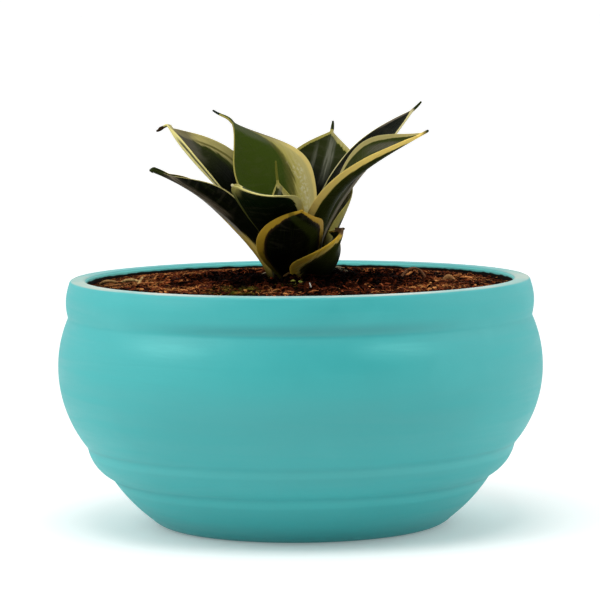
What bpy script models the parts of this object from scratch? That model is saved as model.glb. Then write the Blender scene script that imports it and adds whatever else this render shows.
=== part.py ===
"""Potted dwarf snake plant in a bowl planter. Blender 4.5: blender --background --python part.py

Metres, +Z up, origin under the middle of the pot's foot, the front towards -Y.
"""

import math

import bmesh
import bpy
import numpy as np

MM = 0.001

# Pot, in millimetres. The profile is a radius and a height.
POT_HEIGHT = 120
WALL = 7.5
FLOOR = 9
FOOT_RADIUS = 66.5
FOOT_ROUND = (71.4, 1.8)
HEEL = (74, 3.9)
LOWER_BULGE = (86, 15.2)
LOWER_STEP = (93.2, 24.4)
UPPER_BULGE = (101.9, 32.5)
UPPER_STEP = (105.4, 40.4)
BELLY = (118.2, 78)
GROOVE = (112.9, 101.8)
BAND = (113.9, 109.5)
LIP_OUTER = 111.8
LIP_INNER = 104
LIP_DEPTH = 14
STEP_DEPTH = 0.9
GROOVE_DEPTH = 0.3
ROUNDING = 1.6
SOFTENING = 0.4
FLOOR_CURVE = 1.5
SEGMENTS = 48

# Soil and crown, in millimetres
CLEARANCE = 0.3
SOIL_TOP = 117.7
SOIL_BUMP = 3.2
SOIL_BUMP_MIDDLE = 0.6
SOIL_LUMP = 12
SOIL_RINGS = 8
HOLE_MOUTH = 18.5
HOLE_BEVEL = 1.5
CROWN_TOP = 111.7
CROWN_RADIUS = 14.2
CROWN_DEPTH = 15
CROWN_EDGE = 0.7
CROWN_WAIST = 0.84
CROWN_BOTTOM = 0.3

# Leaves, in millimetres and degrees
LEAF_FOOT = CROWN_TOP + CLEARANCE
THICKEST = 2.1
FOOT_THICKNESS = 1.3
EDGE_THICKNESS = 0.7
TIP_THICKNESS = 0.9
THINNING = 0.7
SWELL = 1.3
TIGHTEST_BEND = 1.2
LEAST_BEND = 2
MOST_BEND = 120
BLADE_END = 0.9
TIP_END = 0.5
SHORTEST_TIP = 0.3
LEAF_ROWS = 20
LEAF_COLUMNS = 6
SPINE_STEPS = 240

# One entry a leaf, the innermost first. az is the direction it grows in, from +X towards +Y, and foot
# its distance from the middle of the crown. hold is the width at the foot as a part of the full width,
# widest the place of the full width as a part of the length, and taper how sharply the blade closes.
# rise is the slope of the midrib: at the foot, two steering values, at the end. turn and roll swing and
# twist the second half of the blade away from az. cup is half the angle that the blade is bent through
# across its width. end is half the width where the blade ends. tip is the awl beyond it: its length, and
# the values that steer its rise and its turn on from those of the blade.
LEAVES = {
    "leaf_young_spear": dict(az=132, foot=1.2, length=57, width=16, hold=0.3, widest=0.66,
                             rise=(90, 75, 55, 75), turn=(-2, -11), roll=(-15, -41),
                             cup=(50, 37), tip=(10, (88,), (-10,))),
    "leaf_tall_back": dict(az=122, foot=3.2, length=98, width=44, hold=0.25, widest=0.56,
                           rise=(90, 59, 48, 46), turn=(1, 33), roll=(-44, -10),
                           cup=(26, 11), taper=1.08, end=1.3, tip=(11, (-25, 70), (30, 40))),
    "leaf_front_left": dict(az=245.5, foot=6.1, length=90, width=32, hold=0.25, widest=0.75,
                            rise=(90, 43, 23, 14.5), turn=(16, -25), roll=(52, -37),
                            cup=(15, 6), taper=1.8),
    "leaf_right_back": dict(az=35, foot=5.8, length=113, width=22, hold=0.25, widest=0.64,
                            rise=(90, 58, 37, 34), turn=(-11, 3), roll=(16, 11),
                            cup=(22, 21), tip=(6, (38,), (10,))),
    "leaf_left_back": dict(az=155, foot=8.8, length=119.5, width=32, hold=0.25, widest=0.58,
                           rise=(90, 33, 37, 21), turn=(-8, -48), roll=(-35, 8),
                           cup=(100, 110), taper=1.26, end=1.3, tip=(8, (-70, -10), (45, 25))),
    "leaf_right_long": dict(az=306, foot=7.9, length=121, width=33, hold=0.25, widest=0.57,
                            rise=(90, 53, 16, 25), turn=(12, 16), roll=(47, 33),
                            cup=(79, 78), taper=1.35),
    "leaf_back": dict(az=70, foot=8.1, length=88, width=38, hold=0.25, widest=0.72,
                      rise=(90, 55, 55, 56), turn=(-6, 1), roll=(-19, 28),
                      cup=(37, 18), taper=1.1, tip=(5, (85,), (0,))),
    "leaf_left_low": dict(az=188.5, foot=13.4, length=89.5, width=27, hold=0.25, widest=0.6,
                          rise=(90, 35, 41, 21), turn=(3, -16), roll=(60, -25),
                          cup=(52, 110), taper=1.57, end=2.3),
    "leaf_right_short": dict(az=30, foot=10.1, length=57, width=34, hold=0.46, widest=0.48,
                             rise=(90, 56, 60, 63), turn=(6, 18), roll=(-38, -4),
                             cup=(52, 26), taper=1.08),
    "leaf_front_short": dict(az=266, foot=10.1, length=58, width=39, hold=0.25, widest=0.6,
                             rise=(90, 5, 44, 61), turn=(-7, 36), roll=(50, -14),
                             cup=(70, 45), taper=0.81),
    "leaf_front_torn": dict(az=305, foot=12.2, length=40, width=40, hold=0.4, widest=0.51,
                            rise=(90, 14, 47, 85), turn=(0, 37), roll=(8, 48),
                            cup=(47, 68), taper=0.74, end=4),
}


def clear_scene():
    for obj in list(bpy.data.objects):
        bpy.data.objects.remove(obj, do_unlink=True)


def make_material(name, colour, roughness):
    material = bpy.data.materials.new(name)
    material.use_nodes = True
    shader = material.node_tree.nodes["Principled BSDF"]
    shader.inputs["Base Color"].default_value = (*colour, 1)
    shader.inputs["Roughness"].default_value = roughness
    shader.inputs["Metallic"].default_value = 0
    material.diffuse_color = (*colour, 1)
    return material


def add_object(name, mesh, material, collection):
    obj = bpy.data.objects.new(name, mesh)
    collection.objects.link(obj)
    mesh.materials.append(material)
    mesh.shade_smooth()
    return obj


def arc(start, middle, end, steps):
    """Points on the circle through three points, from start to end, both included."""
    ax, ay = start
    bx, by = middle
    cx, cy = end
    cross = 2 * (ax * (by - cy) + bx * (cy - ay) + cx * (ay - by))
    a2, b2, c2 = ax * ax + ay * ay, bx * bx + by * by, cx * cx + cy * cy
    x = (a2 * (by - cy) + b2 * (cy - ay) + c2 * (ay - by)) / cross
    y = (a2 * (cx - bx) + b2 * (ax - cx) + c2 * (bx - ax)) / cross
    radius = math.hypot(ax - x, ay - y)
    first = math.atan2(ay - y, ax - x)
    clockwise = cross < 0
    sweep = (math.atan2(cy - y, cx - x) - first) % (2 * math.pi)
    if clockwise:
        sweep -= 2 * math.pi
    angles = [first + sweep * i / steps for i in range(steps + 1)]
    return [(x + radius * math.cos(a), y + radius * math.sin(a)) for a in angles]


def turned(name, profile, segments, material, collection):
    """The profile, points of (radius, height) in millimetres, turned round the Z axis."""
    mesh = bpy.data.meshes.new(name)
    points = [(radius * MM, 0, height * MM) for radius, height in profile]
    edges = [(i, i + 1) for i in range(len(points) - 1)]
    mesh.from_pydata(points, edges, [])
    obj = add_object(name, mesh, material, collection)
    screw = obj.modifiers.new("Turn", "SCREW")
    screw.axis = "Z"
    screw.steps = segments
    screw.render_steps = segments
    screw.use_merge_vertices = True
    screw.merge_threshold = 1e-5
    screw.use_smooth_shade = True
    return obj


def inner_wall(clearance):
    """The inside of the pot from under the lip down to the middle of the floor."""
    shrink = WALL + clearance
    top = (LIP_INNER - clearance, POT_HEIGHT - LIP_DEPTH)
    belly = (BELLY[0] - shrink, BELLY[1])
    knee = (LOWER_STEP[0] - shrink * math.sqrt(0.5), LOWER_STEP[1] + shrink * math.sqrt(0.5))
    heel = (FOOT_RADIUS - shrink, FLOOR + clearance)
    slope = ((knee[0] + heel[0]) / 2 + FLOOR_CURVE, (knee[1] + heel[1]) / 2 - FLOOR_CURVE)
    wall = arc(top, belly, knee, 8) + arc(knee, slope, heel, 3)[1:]
    return wall + [(0, FLOOR + clearance)]


def outer_wall():
    """The outside of the pot from the lip down to the middle of the foot."""
    lip_top = (LIP_OUTER - ROUNDING, POT_HEIGHT)
    band_top = (LIP_OUTER + SOFTENING, POT_HEIGHT - ROUNDING)
    lip = arc(lip_top, (LIP_OUTER, POT_HEIGHT - SOFTENING), band_top, 3)
    band = arc(band_top, BAND, (GROOVE[0] + GROOVE_DEPTH, GROOVE[1] + STEP_DEPTH), 3)
    belly = arc(GROOVE, BELLY, UPPER_STEP, 11)
    bead_top = (UPPER_STEP[0] - STEP_DEPTH, UPPER_STEP[1] - STEP_DEPTH)
    bead = arc(bead_top, UPPER_BULGE, LOWER_STEP, 4)
    bulge_top = (LOWER_STEP[0] - STEP_DEPTH, LOWER_STEP[1] - STEP_DEPTH)
    bulge = arc(bulge_top, LOWER_BULGE, HEEL, 5)
    foot = arc(HEEL, FOOT_ROUND, (FOOT_RADIUS, 0), 3)[1:]
    return lip + band[1:] + belly + bead + bulge + foot + [(0, 0)]


def make_pot(collection):
    paint = make_material("turquoise_paint", (0.07, 0.47, 0.48), 0.6)
    inside = arc(
        (LIP_INNER, POT_HEIGHT - ROUNDING),
        (LIP_INNER + SOFTENING, POT_HEIGHT - SOFTENING),
        (LIP_INNER + ROUNDING, POT_HEIGHT),
        3,
    )
    profile = list(reversed(inner_wall(0))) + inside + outer_wall()
    return turned("pot", profile, SEGMENTS, paint, collection)


def make_soil(collection):
    coir = make_material("coir", (0.13, 0.07, 0.04), 0.95)
    edge = LIP_INNER - CLEARANCE
    step = (edge - HOLE_MOUTH) / SOIL_RINGS
    rings = [(HOLE_MOUTH + step * i, SOIL_TOP) for i in range(SOIL_RINGS + 1)]
    hole_radius = CROWN_RADIUS + CLEARANCE
    hole_floor = CROWN_TOP - CROWN_DEPTH - CLEARANCE
    hole = [
        (0, hole_floor),
        (hole_radius, hole_floor),
        (hole_radius, LEAF_FOOT),
        (HOLE_MOUTH - HOLE_BEVEL, SOIL_TOP - HOLE_BEVEL),
    ]
    profile = hole + rings + inner_wall(CLEARANCE)
    soil = turned("soil", profile, SEGMENTS, coir, collection)
    top = soil.vertex_groups.new(name="top")
    top.add(list(range(len(hole) + 1, len(hole) + len(rings) - 1)), 1, "REPLACE")
    lumps = bpy.data.textures.new("lumps", "CLOUDS")
    lumps.noise_scale = SOIL_LUMP * MM
    bump = soil.modifiers.new("Bumps", "DISPLACE")
    bump.texture = lumps
    bump.texture_coords = "LOCAL"
    bump.direction = "Z"
    bump.strength = SOIL_BUMP * MM
    bump.mid_level = SOIL_BUMP_MIDDLE
    bump.vertex_group = "top"
    return soil


def make_crown(collection):
    flesh = make_material("rootstock", (0.35, 0.22, 0.1), 0.8)
    bottom = CROWN_TOP - CROWN_DEPTH
    side = arc(
        (CROWN_RADIUS, CROWN_TOP - CROWN_EDGE),
        (CROWN_RADIUS * CROWN_WAIST, CROWN_TOP - CROWN_DEPTH / 2),
        (CROWN_RADIUS * CROWN_BOTTOM, bottom + CROWN_EDGE),
        6,
    )
    top = [(0, CROWN_TOP), (CROWN_RADIUS - CROWN_EDGE, CROWN_TOP)]
    profile = top + side + [(0, bottom)]
    return turned("crown", profile, SEGMENTS // 2, flesh, collection)


def steer(values, s):
    """A Bezier curve over s through the first and last of the values, led by those between."""
    rows = [np.full_like(s, value) for value in values]
    while len(rows) > 1:
        rows = [a * (1 - s) + b * s for a, b in zip(rows[:-1], rows[1:])]
    return rows[0]


def half_width(leaf, s):
    """Half the width at s: 0 at the foot, 1 where the blade ends, 2 at the end of the tip."""
    widest = leaf["widest"]
    opening = np.sin(np.pi / 2 * np.clip(s / widest, 0, 1)) ** SWELL
    closing = np.cos(np.pi / 2 * np.clip((s - widest) / (1 - widest), 0, 1)) ** leaf.get("taper", 1)
    outline = np.where(s < widest, leaf["hold"] + (1 - leaf["hold"]) * opening, closing)
    end = leaf.get("end", BLADE_END)
    blade = np.maximum(leaf["width"] / 2 * outline, end)
    return np.where(s > 1, end + (TIP_END - end) * (s - 1), blade)


def spine(leaf):
    """Stations along the midrib: s, its place, and the directions across the blade and out of its face."""
    last_rise = leaf["rise"][-1]
    last_turn = leaf["turn"][-1]
    awl_length, awl_rise, awl_turn = leaf.get("tip", (SHORTEST_TIP, (), ()))
    total = leaf["length"] + awl_length
    along = np.linspace(0, total, SPINE_STEPS + 1)
    s = np.minimum(along / leaf["length"], 1)
    beyond = np.maximum(along - leaf["length"], 0) / awl_length
    rise = steer(leaf["rise"], s) + steer((last_rise, *awl_rise), beyond) - last_rise
    swing = steer((0, 0, *leaf["turn"]), s) + steer((last_turn, *awl_turn), beyond) - last_turn
    rise = np.radians(rise)
    heading = np.radians(leaf["az"] + swing)
    roll = np.radians(steer((0, *leaf["roll"]), s))[:, None]
    level = np.cos(rise)
    forward = np.stack([level * np.cos(heading), level * np.sin(heading), np.sin(rise)], -1)
    place = np.zeros_like(forward)
    place[1:] = np.cumsum((forward[1:] + forward[:-1]) / 2 * total / SPINE_STEPS, 0)
    start = math.radians(leaf["az"])
    place += [leaf["foot"] * math.cos(start), leaf["foot"] * math.sin(start), LEAF_FOOT]
    side = np.stack([-np.sin(heading), np.cos(heading), 0 * heading], -1)
    face = np.cross(forward, side)
    across = side * np.cos(roll) + face * np.sin(roll)
    out = face * np.cos(roll) - side * np.sin(roll)
    return along / total, s + beyond, place, across, out


def bend(leaf, s, half):
    """Half the angle that the blade is bent through across its width, in radians."""
    foot_bend = math.degrees(leaf["width"] / 2 * leaf["hold"] / leaf["foot"])
    cup = steer((foot_bend, foot_bend, *leaf["cup"]), np.minimum(s, 1))
    return np.minimum(np.radians(np.clip(cup, LEAST_BEND, MOST_BEND)), half / TIGHTEST_BEND)


def thickness(s, u):
    middle = FOOT_THICKNESS + (THICKEST - FOOT_THICKNESS) * math.sin(math.pi * min(s, 1))
    if s > 1:
        middle = TIP_THICKNESS
    return EDGE_THICKNESS + (middle - EDGE_THICKNESS) * (1 - u * u) ** THINNING


def make_leaf(name, leaf, material, collection):
    share, s, place, across, out = spine(leaf)
    half = half_width(leaf, s)
    angle = bend(leaf, s, half)
    graph = bmesh.new()
    bmesh.ops.create_grid(graph, x_segments=LEAF_COLUMNS, y_segments=LEAF_ROWS, size=1)
    group = graph.verts.layers.deform.verify()
    for vertex in graph.verts:
        u = vertex.co.x
        row = int(round((vertex.co.y + 1) / 2 * SPINE_STEPS))
        radius = half[row] / angle[row]
        sideways = radius * math.sin(angle[row] * u)
        upwards = radius * (1 - math.cos(angle[row] * u))
        point = place[row] + across[row] * sideways + out[row] * upwards
        vertex[group][0] = thickness(s[row], u) / THICKEST
        vertex.co = point * MM
    bmesh.ops.triangulate(graph, faces=graph.faces[:])
    mesh = bpy.data.meshes.new(name)
    graph.to_mesh(mesh)
    graph.free()
    obj = add_object(name, mesh, material, collection)
    obj.vertex_groups.new(name="thickness")
    solid = obj.modifiers.new("Thickness", "SOLIDIFY")
    solid.thickness = THICKEST * MM
    solid.offset = 0
    solid.vertex_group = "thickness"
    return obj


def main():
    clear_scene()
    collection = bpy.data.collections.new("potted_snake_plant")
    bpy.context.scene.collection.children.link(collection)
    make_pot(collection)
    make_soil(collection)
    make_crown(collection)
    green = make_material("leaf_green", (0.08, 0.13, 0.02), 0.45)
    for name, leaf in LEAVES.items():
        make_leaf(name, leaf, green, collection)


main()
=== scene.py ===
import math

import bpy
import numpy as np
from mathutils import Matrix, Vector, noise


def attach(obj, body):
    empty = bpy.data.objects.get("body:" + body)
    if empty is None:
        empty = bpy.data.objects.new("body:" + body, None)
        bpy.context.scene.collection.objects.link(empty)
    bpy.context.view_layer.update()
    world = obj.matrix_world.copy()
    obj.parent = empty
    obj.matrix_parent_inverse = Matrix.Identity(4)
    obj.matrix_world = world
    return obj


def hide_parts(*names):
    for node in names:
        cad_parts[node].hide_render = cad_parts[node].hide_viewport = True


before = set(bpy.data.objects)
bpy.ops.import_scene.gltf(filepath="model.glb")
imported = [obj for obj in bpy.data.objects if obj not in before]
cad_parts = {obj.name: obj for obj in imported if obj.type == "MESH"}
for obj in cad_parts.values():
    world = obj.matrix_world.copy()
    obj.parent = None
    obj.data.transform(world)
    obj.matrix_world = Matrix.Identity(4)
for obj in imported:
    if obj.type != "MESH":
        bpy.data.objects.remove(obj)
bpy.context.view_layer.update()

mm = 0.001  # the dictionaries give sizes in millimetres, and the meshes are in metres
print("frame loaded:", len(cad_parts), "nodes")


# Small helpers for node trees

def pick(sockets, name):
    return next(s for s in sockets if s.name == name and s.enabled)


class Wire:
    # An output of a node. Sums and comparisons with wires add Math and Vector Math nodes to their tree.
    def __init__(self, socket):
        self.socket = socket
        self.tree = socket.id_data

    def named(self, name):
        return Wire(pick(self.socket.node.outputs, name))

    def __add__(self, other):
        return calc("ADD", self, other)

    def __sub__(self, other):
        return calc("SUBTRACT", self, other)

    def __rsub__(self, other):
        return calc("SUBTRACT", other, self)

    def __mul__(self, other):
        return calc("MULTIPLY", self, other)

    def __truediv__(self, other):
        return calc("DIVIDE", self, other)

    def __pow__(self, other):
        return calc("POWER", self, other)

    def __abs__(self):
        return calc("ABSOLUTE", self)

    def __gt__(self, other):
        return calc("GREATER_THAN", self, other)

    def __lt__(self, other):
        return calc("LESS_THAN", self, other)


def plugIn(value, socket):
    if isinstance(value, Wire):
        value.tree.links.new(value.socket, socket)
    else:
        socket.default_value = value


def addNode(where, kind, inputs=None, **settings):
    # where is a tree or a wire in it. The first output of the node comes back.
    tree = where.tree if isinstance(where, Wire) else where
    made = tree.nodes.new(kind)
    for name, value in settings.items():
        setattr(made, name, value)
    for name, value in (inputs or {}).items():
        plugIn(value, pick(made.inputs, name))
    return Wire(next(s for s in made.outputs if s.enabled))


def calc(operation, *values):
    # A tuple or a vector among the values makes it Vector Math, where a vector times a number is scaled.
    wires = [value for value in values if isinstance(value, Wire)]
    vectors = [isinstance(v, tuple) or v in wires and v.socket.type == "VECTOR" for v in values]
    if operation == "MULTIPLY" and vectors == [True, False]:
        operation = "SCALE"
    made = wires[0].tree.nodes.new("ShaderNodeVectorMath" if any(vectors) else "ShaderNodeMath")
    made.operation = operation
    for socket, value in zip([s for s in made.inputs if s.enabled], values):
        plugIn(value, socket)
    return Wire(next(s for s in made.outputs if s.enabled))


def split(vector):
    made = addNode(vector, "ShaderNodeSeparateXYZ", {"Vector": vector})
    return [made.named(axis) for axis in "XYZ"]


def combine(*parts):
    where = next(part for part in parts if isinstance(part, Wire))
    return addNode(where, "ShaderNodeCombineXYZ", dict(zip("XYZ", parts)))


def fromAxis(vector):
    # Distance of a place from the Z axis
    x, y, _ = split(vector)
    return calc("LENGTH", combine(x, y, 0.0))


def ramp(value, low, high, toLow=0.0, toHigh=1.0):
    ends = {"From Min": low, "From Max": high, "To Min": toLow, "To Max": toHigh}
    return addNode(value, "ShaderNodeMapRange", {"Value": value} | ends, interpolation_type="SMOOTHSTEP")


def rampMm(value, low, high, toLow=0.0, toHigh=1.0):
    return ramp(value, low * mm, high * mm, toLow, toHigh)


def grain(place, scale, detail=3.0, rough=0.55, warp=0.0):
    inputs = {"Vector": place, "Scale": scale, "Detail": detail, "Roughness": rough, "Distortion": warp}
    return addNode(place, "ShaderNodeTexNoise", inputs)


def blend(amount, *colours):
    first, second = ((*colour, 1) if isinstance(colour, tuple) else colour for colour in colours)
    return addNode(amount, "ShaderNodeMix", {"Factor": amount, "A": first, "B": second}, data_type="RGBA")


def newMaterial(name, roughness, specular):
    # Gives the material and the inputs of its shader.
    material = bpy.data.materials.new(name)
    material.use_nodes = True
    shader = material.node_tree.nodes["Principled BSDF"].inputs
    shader["Roughness"].default_value = roughness
    shader["Specular IOR Level"].default_value = specular
    return material, shader


def objectCoords(material):
    return addNode(material.node_tree, "ShaderNodeTexCoord").named("Object")


def carried(material, label, output):
    return addNode(material.node_tree, "ShaderNodeAttribute", attribute_name=label).named(output)


def addBump(shader, height, depth):
    plugIn(addNode(height, "ShaderNodeBump", {"Distance": depth, "Height": height}), shader["Normal"])


def newTree(name, reals, wholes):
    # A tree with named inputs for real and for whole numbers, beside the geometry and the material
    kinds = {"Geometry": "Geometry"} | dict.fromkeys(reals, "Float") | dict.fromkeys(wholes, "Int")
    kinds["Material"] = "Material"
    tree = bpy.data.node_groups.new(name, "GeometryNodeTree")
    for label, kind in kinds.items():
        tree.interface.new_socket(label, in_out="INPUT", socket_type="NodeSocket" + kind)
    tree.interface.new_socket("Geometry", in_out="OUTPUT", socket_type="NodeSocketGeometry")
    outputs = tree.nodes.new("NodeGroupInput").outputs
    return tree, {label: Wire(outputs[label]) for label in kinds}


def endTree(tree, geometry, material):
    whole = addNode(tree, "GeometryNodeRealizeInstances", {"Geometry": geometry})
    smooth = addNode(tree, "GeometryNodeSetShadeSmooth", {"Geometry": whole})
    painted = addNode(tree, "GeometryNodeSetMaterial", {"Geometry": smooth, "Material": material})
    plugIn(painted, tree.nodes.new("NodeGroupOutput").inputs[0])


def readAttribute(tree, name, kind="FLOAT_VECTOR"):
    return addNode(tree, "GeometryNodeInputNamedAttribute", {"Name": name}, data_type=kind)


def keepAttribute(geometry, name, value, kind="FLOAT_VECTOR", domain="POINT"):
    inputs = {"Geometry": geometry, "Name": name, "Value": value}
    return addNode(geometry, "GeometryNodeStoreNamedAttribute", inputs, data_type=kind, domain=domain)


def newMesh(name, verts, faces=()):
    mesh = bpy.data.meshes.new(name)
    mesh.from_pydata(verts, [], faces)
    return mesh


def storeValues(mesh, name, values, kind="FLOAT", field="value"):
    layer = mesh.attributes.new(name, kind, "POINT")
    layer.data.foreach_set(field, np.array(values, np.float32).ravel())


def newObject(name, content):
    made = bpy.data.objects.new(name, content)
    bpy.context.scene.collection.objects.link(made)
    return made


def growMesh(base, tree, settings, name):
    # Runs a node tree on the base mesh and keeps the result as a plain mesh on a new object.
    holder = newObject(name + "Base", base)
    modifier = holder.modifiers.new(name, "NODES")
    modifier.node_group = tree
    for item in tree.interface.items_tree:
        if item.in_out == "INPUT" and item.name in settings:
            modifier[item.identifier] = settings[item.name]
    graph = bpy.context.evaluated_depsgraph_get()
    mesh = bpy.data.meshes.new_from_object(holder.evaluated_get(graph), depsgraph=graph)
    bpy.data.objects.remove(holder)
    mesh.name = name
    return newObject(name, mesh)


def finishPiece(piece, slot, *nodes):
    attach(piece, "root")
    if nodes:
        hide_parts(*nodes)
    piece.data.calc_loop_triangles()
    print("  ", piece.name, len(piece.data.loop_triangles), "triangles")


# Camera, floor and lights

studio = {
    "cameraPlace": (0, -1600, 249.7), "pitchDown": 5.03, "roll": -0.5,
    "lens": 197.6, "sensor": 36, "farthest": 1000,
    "floorSize": 400000, "floorColour": (0.92, 0.92, 0.91), "floorDark": 0.99, "floorGrain": 9.0,
    "glow": (250, 1500, 0.17, 0.39),  # the floor is lit up behind the pot, from where to where, how strongly
    "skyFront": (0.15, 0.16, 0.16), "skyBack": (1.0, 1.0, 1.0), "skyStrength": 1.05, "skyTurn": (-0.7, 0.5),
    # place, aim, width, height, power in watts
    "lamps": {
        "leftSoftbox": ((-950, -450, 800), (-60, 0, 90), 800, 800, 5),
        "rightSoftbox": ((1000, -250, 700), (60, 0, 90), 800, 800, 2.5),
        "topSoftbox": ((-60, -420, 1150), (0, 0, 110), 700, 500, 6),
    },
}


def buildStudio():
    scene = bpy.context.scene
    camera = newObject("photoCamera", bpy.data.cameras.new("photoCamera"))
    camera.data.lens = studio["lens"]
    camera.data.sensor_width = studio["sensor"]
    camera.data.clip_end = studio["farthest"]
    tilt = Matrix.Rotation(math.radians(90 - studio["pitchDown"]), 4, "X")
    roll = Matrix.Rotation(math.radians(studio["roll"]), 4, "Z")
    camera.matrix_world = Matrix.Translation(Vector(studio["cameraPlace"]) * mm) @ tilt @ roll
    scene.camera = camera

    half = studio["floorSize"] / 2 * mm
    corners = [(-half, -half, 0), (half, -half, 0), (half, half, 0), (-half, half, 0)]
    plane = newMesh("floor", corners, [(0, 1, 2, 3)])
    floor = newObject("floor", plane)
    material, shader = newMaterial("palePaper", 0.8, 0.1)
    place = objectCoords(material)
    tone = ramp(grain(place, studio["floorGrain"]), 0.3, 0.7)
    darker = tuple(studio["floorDark"] * part for part in studio["floorColour"])
    plugIn(blend(tone, studio["floorColour"], darker), shader["Base Color"])
    shader["Emission Color"].default_value = (1, 1, 1, 1)
    plugIn(rampMm(split(place)[1], *studio["glow"]), shader["Emission Strength"])
    plane.materials.append(material)

    world = bpy.data.worlds.new("studioSky")
    scene.world = world
    world.use_nodes = True
    background = world.node_tree.nodes["Background"].inputs
    direction = addNode(world.node_tree, "ShaderNodeTexCoord").named("Generated")
    backness = ramp(split(direction)[1], *studio["skyTurn"])
    plugIn(blend(backness, studio["skyFront"], studio["skyBack"]), background["Color"])
    background["Strength"].default_value = studio["skyStrength"]

    for name, (place, aim, width, height, power) in studio["lamps"].items():
        lamp = bpy.data.lights.new(name, "AREA")
        lamp.shape = "RECTANGLE"
        lamp.size = width * mm
        lamp.size_y = height * mm
        lamp.energy = power
        stand = newObject(name, lamp)
        stand.location = Vector(place) * mm
        stand.rotation_euler = (Vector(aim) - Vector(place)).to_track_quat("-Z", "Y").to_euler()
    scene.view_settings.view_transform = "Standard"


buildStudio()
print("studio ready")


# The pot: its shape, then its paint. A mask is a row of from, to, amount before and amount after.

pot = {
    "height": 120, "wall": 7.5, "floor": 9,
    "footRadius": 66.5, "footRound": (71.4, 1.8), "heel": (74, 3.9),
    "lowerBulge": (86, 15.2), "lowerStep": (93.2, 24.4),
    "upperBulge": (101.9, 32.5), "upperStep": (105.4, 40.4),
    "belly": (118.2, 78), "groove": (112.9, 101.8), "band": (113.9, 109.5),
    "lipOuter": 111.8, "lipInner": 104, "lipDepth": 14,
    "stepDepth": 0.9, "grooveDepth": 0.3, "rounding": 1.6, "softening": 0.4, "floorCurve": 1.5,
    "segments": 256, "profileStep": 0.8, "innerStep": 6, "smoothing": 1.1,
    "stepTilt": 0.8, "tiltMiddle": 32, "tiltReach": 16, "waver": 0.22, "waverSize": 45, "calm": (6, 8),
    "paint": (0.023, 0.405, 0.41), "light": (0.055, 0.49, 0.49), "deep": (0.014, 0.315, 0.325),
    "strokes": (14, 14, 170), "strokeGrain": (1.0, 5, 0.6, 0.4), "strokeLight": (0.42, 0.78, 0, 0.2),
    # scale and detail of the noise, mask and colour of each cloudy layer
    "clouds": ((14.0, 3, (0.5, 0.72, 0, 0.25), "deep"), (30.0, 2, (0.56, 0.7, 0, 0.16), "light")),
    # painted shade in the groove under the band, in front
    "grooveShade": 104.3, "grooveReach": (0, 4.4, 0.95, 0), "grooveFront": (30, 90, 1, 0),
    # painted shade under the belly in front, and round the foot
    "bellyShade": (58, 86, 0.6, 0), "bellySides": (60, 100, 1, 0.3), "bellyFront": (-80, -20, 1, 0),
    "footShade": (0, 22, 0.95, 0),
    # painted shade in the step creases, with a painted highlight under each
    "creases": (40.2, 24.2), "crease": (0.3, 1.3, 0.5, 0), "highlightBelow": 3.4, "pale": (0.6, 2.4, 0.3, 0),
    # painted highlights on the shoulder, in front
    "shine": ((-62, 95.5), (43, 95)), "shineSize": (28, 7.5), "shineAmount": (0.1, 1.0, 0.55, 0),
    "shineFront": (-60, -20, 1, 0), "shineStrokes": (0.35, 0.6, 0.4, 1.0), "shoulderHighlight": (0.10, 0.58, 0.57),
    "dust": (0.60, 0.60, 0.52), "sand": (0.36, 0.49, 0.42), "dustFrom": (118.7, 119.2),
    "dustSlope": (0.6, 0.97), "dustFar": (0, 60, 1, 0.12), "dustGrain": (22.0, 4),
    "dustCover": (0.35, 0.65, 0.25, 0.75), "sandEnds": (70, 104), "moreAtEnds": 0.3,
    # painted light on the inner wall, and a painted shadow on it just over the soil
    "wallLight": (0.15, 0.80, 0.74), "wallAmount": 0.8, "wallReach": 0.3,
    "wallShadow": (0.012, 0.008, 0.006), "wallShadowEdge": (117.7, 118.3, 1, 0), "wallShadowGrain": 120.0,
    "wallShadowWobble": 1.6, "gloss": 0.8, "shadowGloss": 0.02,
    "speck": (0.03, 0.12, 0.12), "speckScale": 85.0, "speckSize": (0.035, 0.075, 1, 0), "speckRare": 0.93,
    "speckAmount": 0.55, "fineGrain": (900.0, 2), "roughness": (0.3, 0.8, 0.5, 0.66), "bump": 0.2,
}


def arc(start, middle, end, steps):
    # Points on the circle through three points, from start to end.
    a, b, c = np.array(start, float), np.array(middle, float), np.array(end, float)
    centre = np.linalg.solve(2 * np.array([b - a, c - a]), [b @ b - a @ a, c @ c - a @ a])
    radius = np.linalg.norm(a - centre)
    first, passing, last = (math.atan2(*(p - centre)[::-1]) for p in (a, b, c))
    sweep = (last - first) % (2 * math.pi)
    if (passing - first) % (2 * math.pi) > sweep:
        sweep -= 2 * math.pi
    angles = first + sweep * np.arange(steps + 1) / steps
    return [tuple(centre + radius * np.array([math.cos(t), math.sin(t)])) for t in angles]


def innerWall():
    shrink = pot["wall"]
    lower = pot["lowerStep"]
    knee = (lower[0] - shrink * math.sqrt(0.5), lower[1] + shrink * math.sqrt(0.5))
    heel = (pot["footRadius"] - shrink, pot["floor"])
    slope = ((knee[0] + heel[0]) / 2 + pot["floorCurve"], (knee[1] + heel[1]) / 2 - pot["floorCurve"])
    top = (pot["lipInner"], pot["height"] - pot["lipDepth"])
    belly = (pot["belly"][0] - shrink, pot["belly"][1])
    return arc(top, belly, knee, 40) + arc(knee, slope, heel, 10)[1:]


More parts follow.
